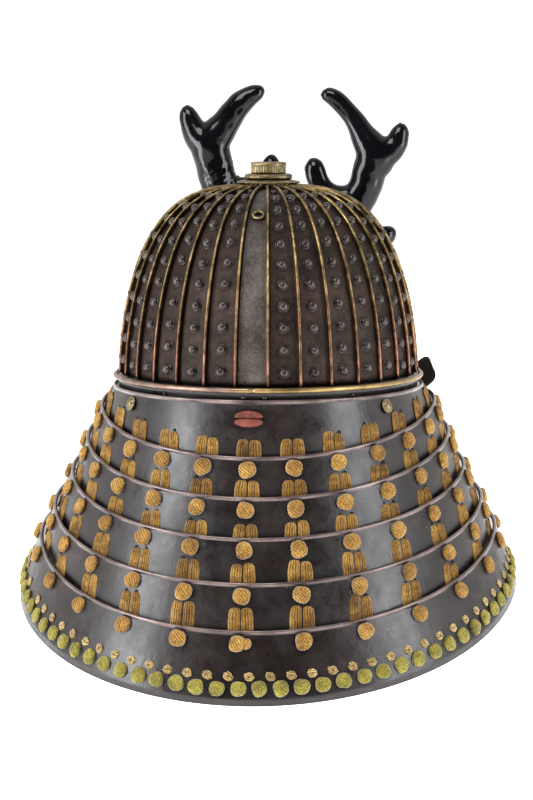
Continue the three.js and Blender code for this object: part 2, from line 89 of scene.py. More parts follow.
VISOR_HALF_ANGLE = math.radians(56)
VISOR_REACH, VISOR_END_REACH, VISOR_FALL = 38, 6, 20
ANTLER_PLANE = -135
ANTLER_FILL = 0.9  # what the smoothing takes off the antlers
ANTLER_FOOT = 24.3
VOXEL, QUICK_VOXEL = 1.6, 2.4


# ---- mesh helpers
def unit(v):
    return v / np.linalg.norm(v, axis=-1, keepdims=True)


def turns(count):
    """Equal angles round a whole turn."""
    return np.arange(count) * 2 * math.pi / count


def add_object(name, data):
    made = bpy.data.objects.new(name, data)
    bpy.context.collection.objects.link(made)
    return made


def make_piece(name, verts, faces, materials, slot, smooth=True, face_material=None):
    """A mesh piece in metres from points in millimetres, riding on the one body."""
    mesh = bpy.data.meshes.new(name)
    mesh.from_pydata((np.asarray(verts, float) * MM).tolist(), [], faces)
    mesh.update()
    for m in materials if isinstance(materials, (list, tuple)) else [materials]:
        mesh.materials.append(m)
    mesh.polygons.foreach_set("use_smooth", [smooth] * len(mesh.polygons))
    if face_material is not None:
        mesh.polygons.foreach_set("material_index", list(face_material))
    piece = add_object(name, mesh)
    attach(piece, "root")
    return piece


def grid_faces(rows, columns, wrap_rows=False, wrap_columns=False, start=0):
    """Quads over a grid of points that is laid out row by row."""
    faces = []
    for r in range(rows if wrap_rows else rows - 1):
        for c in range(columns if wrap_columns else columns - 1):
            r2, c2 = (r + 1) % rows, (c + 1) % columns
            faces.append((start + r * columns + c, start + r * columns + c2,
                          start + r2 * columns + c2, start + r2 * columns + c))
    return faces


def swept(points, ring=False):
    """Vertices and faces of a closed section swept through an array (stations, section, 3)."""
    stations, count, _ = points.shape
    verts = points.reshape(-1, 3)
    faces = grid_faces(stations, count, wrap_rows=ring, wrap_columns=True)
    if not ring:
        last = (stations - 1) * count
        faces.append(tuple(reversed(range(count))))
        faces.append(tuple(range(last, last + count)))
    return orient(verts, faces)


def orient(verts, faces):
    """Turns all faces over if together they hold a negative volume."""
    total = 0.0
    for f in faces:
        a = verts[f[0]]
        for i in range(1, len(f) - 1):
            total += float(np.dot(a, np.cross(verts[f[i]], verts[f[i + 1]])))
    return verts, ([tuple(reversed(f)) for f in faces] if total < 0 else faces)


def copies(verts, faces, frames):
    """One mesh of a small shape repeated in frames of (origin, along, down, out, scale)."""
    verts = np.asarray(verts, float)
    all_verts, all_faces = [], []
    for k, (origin, along, down, out, scale) in enumerate(frames):
        local = verts * scale
        all_verts.append(origin + local[:, :1] * along + local[:, 1:2] * down
                         + local[:, 2:3] * out)
        shift = k * len(verts)
        all_faces.extend(tuple(i + shift for i in f) for f in faces)
    return np.concatenate(all_verts), all_faces


def joined(parts):
    """Several (verts, faces) as one."""
    verts, faces, shift = [], [], 0
    for v, f in parts:
        verts.append(np.asarray(v, float))
        faces.extend(tuple(i + shift for i in face) for face in f)
        shift += len(v)
    return np.concatenate(verts), faces


def lathe(profile, sides, wave=None):
    """A closed ring or dome about +Z. wave(angle, point number) scales the radius."""
    profile = np.asarray(profile, float)
    turn = turns(sides)
    rows = []
    for number, (radius, height) in enumerate(profile):
        r = radius * (1 + (wave(turn, number) if wave else 0 * turn))
        rows.append(np.stack([r * np.cos(turn), r * np.sin(turn),
                              np.full(sides, height)], 1))
    return np.stack(rows)


def spline(points, samples):
    """Catmull-Rom through rows of numbers."""
    p = np.asarray(points, float)
    p = np.vstack([2 * p[0] - p[1], p, 2 * p[-1] - p[-2]])
    t = np.linspace(0, len(p) - 3 - 1e-9, samples)
    i = t.astype(int)
    u = (t - i)[:, None]
    a, b, c, d = p[i], p[i + 1], p[i + 2], p[i + 3]
    return 0.5 * (2 * b + (c - a) * u + (2 * a - 5 * b + 4 * c - d) * u ** 2
                  + (3 * b - a - 3 * c + d) * u ** 3)


def tube(path, radii, sides=8, flatten=1.0, side_hint=(0, 0, 1)):
    """A closed tube with rounded ends along a path, flattened across if asked."""
    path = np.asarray(path, float)
    radii = np.broadcast_to(np.asarray(radii, float), len(path))
    tangent = unit(np.gradient(path, axis=0))
    hint = np.broadcast_to(np.asarray(side_hint, float), path.shape)
    across = unit(np.cross(tangent, hint) + 1e-9)
    up = np.cross(across, tangent)
    turn = turns(sides)
    ring = (np.cos(turn)[None, :, None] * across[:, None] +
            flatten * np.sin(turn)[None, :, None] * up[:, None])
    body = path[:, None] + ring * radii[:, None, None]
    start = path[0] - tangent[0] * radii[0] * 0.6 + ring[0] * radii[0] * 0.55
    end = path[-1] + tangent[-1] * radii[-1] * 0.6 + ring[-1] * radii[-1] * 0.55
    return swept(np.concatenate([start[None], body, end[None]]))


# ---- materials
class Nodes:
    """Short ways to add and link shader nodes."""

    def __init__(self, name):
        self.material = bpy.data.materials.new(name)
        self.material.use_nodes = True
        self.tree = self.material.node_tree
        self.shader = self.tree.nodes["Principled BSDF"]
        self.coords = self.tree.nodes.new("ShaderNodeTexCoord").outputs["Object"]

    def node(self, kind, **values):
        made = self.tree.nodes.new(kind)
        for key, value in values.items():
            if key in made.inputs:
                made.inputs[key].default_value = value
            else:
                setattr(made, key, value)
        return made

    def link(self, out, into):
        self.tree.links.new(out, into)

    def set(self, **values):
        for key, value in values.items():
            self.shader.inputs[key.replace("_", " ")].default_value = value

    def noise(self, scale, detail=4.0, roughness=0.6, stretch=None):
        made = self.node("ShaderNodeTexNoise", Scale=scale, Detail=detail,
                         Roughness=roughness)
        self.link(self.stretched(stretch) if stretch else self.coords,
                  made.inputs["Vector"])
        return made.outputs["Fac"]

    def stretched(self, stretch):
        mapping = self.node("ShaderNodeMapping", Scale=stretch)
        self.link(self.coords, mapping.inputs["Vector"])
        return mapping.outputs["Vector"]

    def cells(self, scale):
        made = self.node("ShaderNodeTexVoronoi", Scale=scale)
        self.link(self.coords, made.inputs["Vector"])
        return made.outputs["Distance"]

    def ramp(self, factor, *stops):
        made = self.node("ShaderNodeValToRGB")
        elements = made.color_ramp.elements
        while len(elements) < len(stops):
            elements.new(0.5)
        for element, (place, colour) in zip(elements, stops):
            element.position = place
            if not isinstance(colour, tuple):
                colour = (colour, colour, colour)
            element.color = (*colour, 1)
        self.link(factor, made.inputs["Fac"])
        return made.outputs["Color"]

    def fade(self, scale, detail, low, high, stop=0.75):
        """Blotches between two values or two colours."""
        return self.ramp(self.noise(scale, detail), (0.3, low), (stop, high))

    def mix(self, factor, a, b, blend="MIX"):
        made = self.node("ShaderNodeMix")
        made.data_type = "RGBA"
        made.blend_type = blend
        colours = [s for s in made.inputs if s.type == "RGBA"]
        for socket, value in zip([made.inputs[0], *colours], (factor, a, b)):
            if isinstance(value, bpy.types.NodeSocket):
                self.link(value, socket)
            elif isinstance(value, tuple):
                socket.default_value = (*value, 1)
            else:
                socket.default_value = value
        return [s for s in made.outputs if s.type == "RGBA"][0]

    def axis(self, letter):
        """The place along one of the helmet's axes, in metres."""
        split = self.node("ShaderNodeSeparateXYZ")
        self.link(self.coords, split.inputs[0])
        return split.outputs[letter]

    def between(self, value, low, high):
        made = self.node("ShaderNodeMapRange")
        made.inputs["From Min"].default_value = low
        made.inputs["From Max"].default_value = high
        self.link(value, made.inputs["Value"])
        return made.outputs["Result"]

    def bump(self, *layers):
        """Each layer is (height, depth in millimetres)."""
        normal = None
        for value, depth in layers:
            made = self.node("ShaderNodeBump", Distance=depth * MM)
            self.link(value, made.inputs["Height"])
            if normal:
                self.link(normal, made.inputs["Normal"])
            normal = made.outputs["Normal"]
        self.link(normal, self.shader.inputs["Normal"])

    def painted_crease_shade(self, base, distance, low, high, darkest):
        """The colour with painted shade: darkened by ambient occlusion in hollows that are about so
        many millimetres wide.
        """
        made = self.node("ShaderNodeAmbientOcclusion", Distance=distance * MM)
        made.samples = 6
        dark = self.ramp(made.outputs["AO"], (low, darkest), (high, 1.0))
        return self.mix(1.0, base, dark, "MULTIPLY")

    def colour(self, value):
        self.link(value, self.shader.inputs["Base Color"])

    def roughness(self, value):
        self.link(value, self.shader.inputs["Roughness"])


def plate_material(name, dark, light, pits=1.0):
    """Russet iron: brown-grey, finely pitted, darker in blotches, with painted shade in the hollows
    by the ridges and rivets.
    """
    n = Nodes(name)
    blotch = n.noise(42, 7, 0.7)
    base = n.ramp(blotch, (0.32, dark), (0.68, light))
    grain = n.ramp(n.noise(700, 4, 0.75), (0.36, 0.35), (0.64, 1.0))
    surface = n.mix(0.85, base, grain, "MULTIPLY")
    n.colour(n.painted_crease_shade(surface, 4.0, 0.4, 0.95, 0.06))
    n.roughness(n.fade(120, 5, 0.36, 0.58))
    n.set(Metallic=0.4, Specular_IOR_Level=0.3)
    n.bump((n.noise(900, 4, 0.75), 0.3 * pits), (n.noise(260, 6, 0.7), 0.6 * pits),
           (n.noise(45, 3, 0.5), 0.8 * pits))
    return n.material


def rivet_material():
    n = Nodes("rivet_iron")
    iron = n.fade(160, 5, (0.024, 0.018, 0.016), (0.080, 0.064, 0.058))
    # Painted shade: the iron is darkened in the hollows round the rivet's foot.
    n.colour(n.painted_crease_shade(iron, 1.6, 0.25, 0.6, 0.05))
    n.roughness(n.fade(400, 4, 0.24, 0.36, 0.8))
    n.set(Metallic=0.5)
    n.bump((n.noise(350, 3, 0.5), 0.05),)
    return n.material


def gilt_material():
    """Worn gilt copper: gold towards the crown, coppery where it was handled near the rim."""
    n = Nodes("gilt_ridge")
    gold = n.fade(70, 5, (0.13, 0.088, 0.034), (0.38, 0.28, 0.125), 0.7)
    copper = n.fade(90, 5, (0.15, 0.065, 0.042), (0.40, 0.20, 0.13), 0.7)
    mottled = n.mix(n.noise(25, 3), n.between(n.axis("Z"), 0.085, 0.01), n.noise(18, 4))
    share = n.ramp(mottled, (0.25, 0.0), (0.75, 1.0))
    wear = n.ramp(n.noise(140, 5, 0.7), (0.38, 0.25), (0.6, 1.0))
    n.colour(n.mix(0.8, n.mix(share, gold, copper), wear, "MULTIPLY"))
    n.roughness(n.fade(300, 4, 0.28, 0.5, 0.8))
    n.set(Metallic=0.9)
    n.bump((n.noise(500, 4), 0.08),)
    return n.material


def rim_material():
    """The rim wire: browned copper on one side of its joint, golden on the other."""
    n = Nodes("rim_gilt")
    gold = n.fade(60, 5, (0.16, 0.105, 0.040), (0.40, 0.29, 0.13), 0.7)
    copper = n.fade(60, 5, (0.12, 0.075, 0.060), (0.34, 0.23, 0.18), 0.7)
    n.colour(n.mix(n.between(n.axis("X"), 0.0, 0.02), gold, copper))
    n.roughness(n.fade(200, 4, 0.3, 0.5, 0.8))
    n.set(Metallic=0.85)
    n.bump((n.noise(400, 4), 0.1),)
    return n.material


def lacquer_material(name, dark, light, specks=True):
    """Old lacquer over iron: blotchy brown-black with a soft sheen, specks and scratches, and
    painted shade in hollows under the lips and round the lacing.
    """
    n = Nodes(name)
    base = n.ramp(n.noise(16, 6, 0.62), (0.3, dark), (0.72, light))
    russet = n.ramp(n.noise(42, 5, 0.6), (0.60, 0.0), (0.78, 1.0))
    base = n.mix(russet, base, (0.060, 0.030, 0.022))
    if specks:
        dust = n.ramp(n.cells(240), (0.05, 1.0), (0.11, 0.0))
        rare = n.ramp(n.noise(70, 2), (0.56, 0.0), (0.66, 1.0))
        mask = n.mix(1.0, dust, rare, "MULTIPLY")
        base = n.mix(mask, base, (0.20, 0.17, 0.13))
    n.colour(n.painted_crease_shade(base, 5.0, 0.4, 0.95, 0.1))
    n.roughness(n.ramp(n.noise(38, 7, 0.7), (0.35, 0.24), (0.65, 0.50)))
    n.set(Metallic=0.0, Specular_IOR_Level=0.5, Coat_Weight=0.15, Coat_Roughness=0.2)
    n.bump((n.noise(600, 4, 0.6), 0.08), (n.noise(110, 5, 0.6), 0.3), (n.noise(35, 3, 0.5), 0.5))
    return n.material


def lip_painted_highlight_material():
    n = Nodes("lame_lip_painted_highlight")
    # The paler pinkish brown is partly a painted highlight, where the rolled edge catches the
    # light.
    n.colour(n.fade(45, 5, (0.045, 0.030, 0.028), (0.24, 0.180, 0.170)))
    n.roughness(n.fade(150, 4, 0.24, 0.45, 0.8))
    n.set(Metallic=0.6, Coat_Weight=0.3, Coat_Roughness=0.15)
    n.bump((n.noise(500, 4), 0.06),)
    return n.material


def cord_material(name, shadow, middle, light):
    """Braided silk: fibres along the lay, blotched at random between a painted shade tone and a
    painted light tone, with painted shade between the strands.
    """
    n = Nodes(name)
    base = n.ramp(n.noise(75, 4, 0.6), (0.28, shadow), (0.5, middle), (0.74, light))
    threads = n.ramp(n.noise(1300, 3, 0.7, (1.0, 1.0, 0.4)), (0.34, 0.35), (0.62, 1.15))
    mottled = n.mix(0.9, base, threads, "MULTIPLY")
    n.colour(n.painted_crease_shade(mottled, 1.5, 0.45, 0.9, 0.10))
    n.set(Roughness=0.88, Sheen_Weight=0.35, Sheen_Roughness=0.5, Specular_IOR_Level=0.25)
    n.bump((n.noise(1700, 3, 0.7, (1.0, 1.0, 0.35)), 0.22), (n.noise(620, 4, 0.6), 0.2))
    return n.material


def brass_material():
    """Chased and tarnished brass: pale olive-gold, with painted shade in its grooves."""
    n = Nodes("crown_brass")
    base = n.fade(60, 5, (0.13, 0.10, 0.050), (0.36, 0.29, 0.165), 0.72)
    grime = n.ramp(n.noise(260, 4), (0.32, 0.4), (0.62, 1.0))
    n.colour(n.painted_crease_shade(n.mix(0.9, base, grime, "MULTIPLY"), 1.5, 0.3, 0.85, 0.15))
    n.roughness(n.fade(200, 4, 0.32, 0.55, 0.8))
    n.set(Metallic=0.85)
    n.bump((n.noise(600, 4), 0.12),)
    return n.material


def antler_material():
    """Thick polished black lacquer with a fine ripple from the carving under it."""
    n = Nodes("antler_black")
    n.colour(n.fade(30, 4, (0.0020, 0.0020, 0.0026), (0.006, 0.006, 0.008), 0.8))
    n.roughness(n.fade(90, 4, 0.10, 0.2, 0.8))
    n.set(Metallic=0.0, Specular_IOR_Level=0.32, Coat_Weight=0.1, Coat_Roughness=0.05)
    n.bump((n.noise(30, 2, 0.3), 0.12),)
    return n.material


def leather_material():
    n = Nodes("red_leather")
    n.colour(n.fade(160, 5, (0.065, 0.014, 0.009), (0.22, 0.060, 0.038), 0.7))
    n.set(Roughness=0.6, Specular_IOR_Level=0.4)
    n.bump((n.noise(900, 4), 0.12), (n.cells(900), 0.08))
    return n.material


def plain_material(name, colour, rough):
    n = Nodes(name)
    n.colour(n.ramp(n.noise(40, 3), (0.3, tuple(c * 0.8 for c in colour)), (0.7, colour)))
    n.set(Roughness=rough)
    return n.material


PLATE = plate_material("plate_iron", (0.014, 0.0075, 0.0050), (0.070, 0.043, 0.031))
BLANK_PLATE = plate_material("plate_iron_blank", (0.030, 0.021, 0.016), (0.150, 0.128, 0.113), 0.8)
RIVET = rivet_material()
GILT = gilt_material()
RIM_GILT = rim_material()
LACQUER = lacquer_material("lame_lacquer", (0.006, 0.0040, 0.0037), (0.021, 0.0140, 0.0125))
INNER_LACQUER = lacquer_material("inner_lacquer", (0.10, 0.024, 0.015), (0.17, 0.05, 0.03),
                                 specks=False)
LIP = lip_painted_highlight_material()
# Each cord colour runs from a painted shade tone through the middle tone to a painted light tone.
OCHRE = cord_material("lace_ochre", (0.095, 0.044, 0.008), (0.27, 0.142, 0.027),
                      (0.45, 0.27, 0.070))
OCHRE_KNOT = cord_material("knot_ochre", (0.17, 0.080, 0.014), (0.36, 0.195, 0.040),
                           (0.50, 0.30, 0.080))
GREEN = cord_material("knot_green", (0.125, 0.105, 0.018), (0.28, 0.235, 0.038),
                      (0.40, 0.34, 0.080))
TAN = cord_material("knot_tan", (0.22, 0.135, 0.045), (0.42, 0.29, 0.11), (0.60, 0.46, 0.21))
BRASS = brass_material()
ANTLER = antler_material()
LEATHER = leather_material()
# Dark discs of painted shade that stand for the lace holes at the braids' tops.
HOLE_SHADE = plain_material("lace_hole", (0.006, 0.004, 0.003), 0.9)


# ---- the bowl's surface
def dome_point(angle, latitude):
    angle, latitude = np.broadcast_arrays(np.asarray(angle, float), latitude)
    width = (BOWL_HALF_WIDTH * np.cos(latitude) ** BOWL_FULLNESS
             + BOWL_FLARE * (1 - np.sin(latitude)))
    return np.stack([-width * np.sin(angle), width * BOWL_LENGTH_RATIO * np.cos(angle),
                     BOWL_BASE + (BOWL_TOP - BOWL_BASE) * np.sin(latitude)], -1)


def dome_frame(angle, latitude):
    """The point, and the directions along the rim, down the plate and out of it."""
    step = 1e-4
    point = dome_point(angle, latitude)
    along = unit(dome_point(angle + step, latitude) - dome_point(angle - step, latitude))
    up = unit(dome_point(angle, latitude + step) - dome_point(angle, latitude - step))
    out = unit(np.cross(along, up))
    out = np.where((out * point).sum(-1, keepdims=True) < 0, -out, out)
    return point, along, -up, out


def plate_edges():
    """Angles of the plates' edges, equally spaced along the rim."""
    half = BOWL_HALF_WIDTH + BOWL_FLARE
    turn = np.linspace(0, 2 * math.pi, 7201)
    x, y = half * np.sin(turn), half * BOWL_LENGTH_RATIO * np.cos(turn)
    length = np.concatenate([[0], np.cumsum(np.hypot(np.diff(x), np.diff(y)))])
    places = (np.arange(PLATE_COUNT + 1) - 0.5) * length[-1] / PLATE_COUNT
    return np.interp(places, np.concatenate([length - length[-1], length]),
                     np.concatenate([turn - 2 * math.pi, turn]))


EDGES = plate_edges()
STATIONS = CROWN_LATITUDE * np.linspace(0, 1, 53) ** 0.93


def plate_section(k, profile):
    """The sweep of a plate's section. profile holds (place, offset) in millimetres, the place
    counted from the right edge when it is negative and from the left edge otherwise."""
    low, high = EDGES[k], EDGES[k + 1]
    width = np.linalg.norm(dome_point(low, STATIONS) - dome_point(high, STATIONS), axis=-1)
    columns = []
    for place, offset in profile:
        share = place / width if place >= 0 else 1 + place / width
        angle = low + (high - low) * np.clip(share, 0.0, 1.0)
        point, _, _, out = dome_frame(angle, STATIONS)
        columns.append(point + out * offset)
    return np.stack(columns, 1)


def build_plates():
    """Each plate with its standing ridge, and one gilt strip folded over every ridge."""
    w = RIDGE_WIDTH
    profile = [(0, 0), (0.9, 0), (-w - 1.6, 0), (-w - 0.7, 0.12), (-w - 0.2, 0.5), (-w, 1.0),
               (-w, 2.3), (-w * 0.5, 2.7), (-0.05, 2.3), (-PLATE_SEAM, 0),
               (-PLATE_SEAM, -PLATE_WALL), (-w - 1.6, -PLATE_WALL), (0.9, -PLATE_WALL),
               (0, -PLATE_WALL)]
    strip = [(-w - 0.45, 0.7), (-w - 0.34, 2.2), (-w - 0.05, 2.9), (-w * 0.5, 3.15),
             (-0.02, 2.9), (-0.0001, 2.2), (-0.0001, 0.7)]
    strips = []
    for k in range(PLATE_COUNT):
        verts, faces = swept(plate_section(k, profile))
        name = f"bowl_plate_{k + 1:02d}"
        piece = make_piece(name + "_look", verts, faces, BLANK_PLATE if k == 0 else PLATE,
                           "plate_iron")
        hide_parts(name)
        strips.append(swept(plate_section(k, strip)))
    make_piece("gilt_ridges", *joined(strips), GILT, "gilt_edge")


def rivet_shape():
    """A pointed dome on a thin washer."""
    profile = [(4.1, -0.3), (4.0, 0.05), (3.7, 0.12), (3.4, 0.12)]
    for lean in (8, 22, 36, 50, 63, 75, 85):
        a = math.radians(lean)
        profile.append((3.5 * math.cos(a), 0.3 + 3.0 * math.sin(a)))
    return swept(lathe(profile, 16))


def build_rivets():
    """A column of rivets up every plate but the one at the middle of the back."""
    verts, faces = rivet_shape()
    frames = []
    fine = np.linspace(0, CROWN_LATITUDE, 900)
    for k in range(1, PLATE_COUNT):
        middle = (EDGES[k] + EDGES[k + 1]) / 2
        points = dome_point(middle, fine)
        run = np.concatenate([[0], np.cumsum(np.linalg.norm(np.diff(points, axis=0), axis=1))])
        place = RIVET_START + rng.uniform(-1.4, 1.4)
        while True:
            latitude = np.interp(place, run, fine)
            width = np.linalg.norm(dome_point(EDGES[k], latitude)
                                   - dome_point(EDGES[k + 1], latitude))
            if width < NARROWEST_RIVETED or place > run[-1] - 4:
                break
            share = 0.5 - (RIDGE_WIDTH * 0.5) / width
            angle = EDGES[k] + (EDGES[k + 1] - EDGES[k]) * share
            size = min(1.0, (width - 2.2) / 8.2) * rng.uniform(0.93, 1.04)
            frames.append((*dome_frame(angle, latitude), size))
            pitch = RIVET_PITCH * min(1.0, 0.72 + 0.28 * width / 12)
            place += pitch + rng.uniform(-0.5, 0.5)
    verts, faces = copies(verts, faces, frames)
    make_piece("bowl_rivets", *orient(verts, faces), RIVET, "plate_iron")


def ellipse_sweep(half_width, half_length, section, angles):
    """A section of (out, height) swept round an ellipse. Whole turns close on themselves."""
    section = np.asarray(section, float)
    out, height = section[:, 0], section[:, 1]
    a = angles[:, None]
    return np.stack([-(half_width + out) * np.sin(a), (half_length + out) * np.cos(a),
                     np.broadcast_to(height, (len(angles), len(section)))], -1)


def build_rim():
    """The rim wire, with the joint between its two ends at the back, and the waist plate."""
    half_width, half_length, height = RIM
    turn = turns(14)
    section = np.stack([RIM_WIRE_RADIUS * np.cos(turn),
                        height + RIM_WIRE_RADIUS * np.sin(turn)], 1)
    joint = RIM_JOINT / 2 / half_length
    angles = np.linspace(joint, 2 * math.pi - joint, 260)
    wire = make_piece("rim_wire_look",
                      *swept(ellipse_sweep(half_width, half_length, section, angles)),
                      RIM_GILT, "gilt_edge")
    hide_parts("bowl_rim_wire")

    band = [(-1.5, -24), (0, -24), (0, -7.0), (0.25, -4.2), (0.9, -3.2), (0.9, -1.0),
            (0.4, 1.2), (-2.4, 2.1), (-4.0, 2.1), (-4.0, 0.6), (-1.5, -2.4)]
    plate = make_piece("waist_plate_look",
                       *swept(ellipse_sweep(*WAIST, band, turns(220)), ring=True),
                       LACQUER, "lame_lacquer")
    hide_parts("waist_plate")

    pins = []
    for angle in WAIST_PIN_ANGLES:
        radial = np.array([-math.sin(angle), math.cos(angle), 0.0])
        origin = np.array([-(WAIST[0] + 0.3) * math.sin(angle),
                           (WAIST[1] + 0.3) * math.cos(angle), WAIST_PIN_HEIGHT])
        along = np.array([math.cos(angle), math.sin(angle), 0.0])
        pins.append((origin, along, np.array([0.0, 0.0, -1.0]), radial,
                     WAIST_PIN_SIZE))
    verts, faces = rivet_shape()
    make_piece("waist_pins", *orient(*copies(verts, faces, pins)), RIVET, "plate_iron")


# ---- the crown ornament
def build_crown():
    """Petals at the foot, a beaded ring, and a fluted collar round the open crown."""
    def petals(turn, number):
        return 0.055 * np.abs(np.cos(8 * turn)) * (number in (3, 4, 5, 6)) - 0.02
    foot = [(9.0, 133.4), (19.0, 133.2), (21.0, 133.3), (21.6, 133.8), (21.4, 134.5),
            (20.0, 135.1), (17.8, 135.6), (16.6, 135.9), (9.0, 135.9)]

    def beads(turn, number):
        return 0.025 * np.abs(np.sin(36 * turn)) * (number in (2, 3, 4, 5))
    ring = [(9.0, 136.0), (15.2, 136.0), (16.0, 136.6), (16.3, 137.6), (16.2, 138.8),
            (15.6, 139.6), (14.4, 140.1), (9.0, 140.1)]

    def flutes(turn, number):
        return 0.012 * np.cos(40 * turn) * (number in (2, 3, 4))
    collar = [(8.9, 140.2), (11.8, 140.2), (12.1, 140.9), (12.0, 143.2), (12.1, 145.3),
              (12.4, 146.0), (12.6, 146.9), (12.1, 147.9), (11.0, 148.2), (10.0, 147.7),
              (9.2, 146.6), (8.9, 145.0)]
    parts = []
    for profile, wave in ((foot, petals), (ring, beads), (collar, flutes)):
        rings = lathe(profile, 240, wave).transpose(1, 0, 2)
        parts.append(swept(rings, ring=True))
    crown = make_piece("crown_look", *joined(parts), BRASS, "crown_brass")
    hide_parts("crown_ornament")


# ---- the neck guard's surface
def ring_point(ring, angle):
    half_width, half_length, height, rise = RINGS[ring]
    level = 1 - np.cos(angle)
    share = level / (1 + (level / RISE_LIMIT) ** RISE_SHARPNESS) ** (1 / RISE_SHARPNESS)
    return np.stack([-half_width * np.sin(angle), half_length * np.cos(angle),
                     height + rise * share], -1)


def lame_frame(number, angle):
    """Origin on the top edge, and the directions along, down and out of the lame."""
    angle = np.asarray(angle, float)
    top = ring_point(number - 1, angle)
    down = unit(ring_point(number, angle) - top)
    along = unit(ring_point(number - 1, angle + 1e-3) - ring_point(number - 1, angle - 1e-3))
    return top, *outward(along, down, top)


def outward(along, down, near):
    out = unit(np.cross(along, down))
    flat = near * np.array([1.0, 1.0, 0.0])
    out = np.where((out * flat).sum(-1, keepdims=True) < 0, -out, out)
    return unit(np.cross(down, out)), down, out


def at(frame_at, along, down, out):
    origin, a, d, o = frame_at
    return origin + a * along + d * down + o * out


def tucked_edge(number, angle):
    if number == len(RINGS) - 1:
        return ring_point(number, np.asarray(angle, float))
    foot = at(lame_frame(number, angle), 0, LIP_FOOT, 0)
    behind = at(lame_frame(number + 1, angle), 0, 0, -(LAME_WALL + LAME_GAP))
    return behind + unit(behind - foot) * LAME_OVERLAP


def face_frame(number, angle):
    """The same directions on the plain face below the rolled edge."""
    foot = at(lame_frame(number, angle), 0, LIP_FOOT, 0)
    down = unit(tucked_edge(number, angle) - foot)
    along = lame_frame(number, angle)[1]
    return foot, *outward(along, down, foot)


LIP_SECTION = ((0.3, -LAME_WALL), (-0.15, -0.9), (-0.3, -0.1), (-0.1, 0.7), (0.35, 1.15),
               (1.0, 1.25), (1.6, 1.05), (2.0, 0.55), (2.4, 0.15), (LIP_FOOT, 0.0))
FACE_SHARES = (0.12, 0.3, 0.5, 0.7, 0.88, 1.0)
FACE_BULGE = 0.45


def lame_points(number, angles):
    frame_at = lame_frame(number, angles)
    foot, _, _, out = face_frame(number, angles)
    low = tucked_edge(number, angles)
    columns = [at(frame_at, 0, down, o) for down, o in LIP_SECTION]
    for share in FACE_SHARES:
        bulge = FACE_BULGE * math.sin(math.pi * share)
        columns.append(foot + (low - foot) * share + out * bulge)
    for share in (1.0, 0.66, 0.33, 0.05):
        bulge = FACE_BULGE * math.sin(math.pi * share) - LAME_WALL
        columns.append(foot + (low - foot) * share + out * bulge)
    return np.stack(columns, 1)


TURN_RADIUS, TURN_BEND, TURN_WIDTH, TURN_RISE, TURN_DROP = 5, math.radians(125), 17, -1, 2
TURN_STATIONS = 28
BEND_SHARE = 0.4  # of the stations, the rest being the flat flange


def turned_points(angle):
    """The first lame's end, turned outwards and back as a small flange with round corners."""
    section = lame_points(1, np.array([angle]))[0]
    high, along, _, out = lame_frame(1, np.array(angle))
    low = tucked_edge(1, np.array(angle))
    slope = low - high
    shares = (section - high) @ slope / (slope @ slope)
    offsets = (section - high - shares[:, None] * slope) @ out
    forward = along if along[1] < 0 else -along
    stations = []
    for step in range(1, TURN_STATIONS + 1):
        share = step / TURN_STATIONS
        bend = TURN_BEND * min(share / BEND_SHARE, 1)
        run = max(share - BEND_SHARE, 0) / (1 - BEND_SHARE) * TURN_WIDTH
        new_out = out * math.cos(bend) - forward * math.sin(bend)
        shift = (forward * (TURN_RADIUS * math.sin(bend) + run * math.cos(bend))
                 + out * (TURN_RADIUS * (1 - math.cos(bend)) + run * math.sin(bend)))
        grown = min(share / 0.55, 1)
        corner = 1 - math.sqrt(max(0.0, 1 - max(0.0, (share - 0.75) / 0.25) ** 2.2))
        new_high = high + shift + np.array([0, 0, TURN_RISE * grown]) + slope * 0.22 * corner
        new_low = low + shift - np.array([0, 0, TURN_DROP * grown]) - slope * 0.22 * corner
        proud = np.where(offsets > 0, offsets * (1 - grown), offsets)
        stations.append(new_high + shares[:, None] * (new_low - new_high)
                        + proud[:, None] * new_out)
    return np.array(stations)


def lame_angles(number):
    steps = 16 if number < 4 else 15
    return np.linspace(-steps, steps, 2 * steps * LAME_DIVISIONS + 1) * LAME_STEP


def build_lames():
    """Each lame: black outside, a rolled lip in paler brown that is partly a painted highlight, red
    inside.
    """
    for number in range(1, 7):
        angles = lame_angles(number)
        points = lame_points(number, angles)
        if number == 1:
            points = np.concatenate([turned_points(angles[0])[::-1], points,
                                     turned_points(angles[-1])])
        verts, faces = swept(points)
        count = points.shape[1]
        lip_columns = set(range(2, 8))
        inner_columns = set(range(len(LIP_SECTION) + len(FACE_SHARES), count))
        index = []
        for f in faces:
            column = min(i % count for i in f) if len(f) == 4 else 0
            wraps = len(f) == 4 and max(i % count for i in f) - column > 1
            index.append(2 if column in inner_columns or wraps
                         else 1 if column in lip_columns else 0)
        lame = make_piece(f"neck_lame_{number}_look", verts, faces,
                          [LACQUER, LIP, INNER_LACQUER], "lame_lacquer", face_material=index)
        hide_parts(f"neck_lame_{number}")


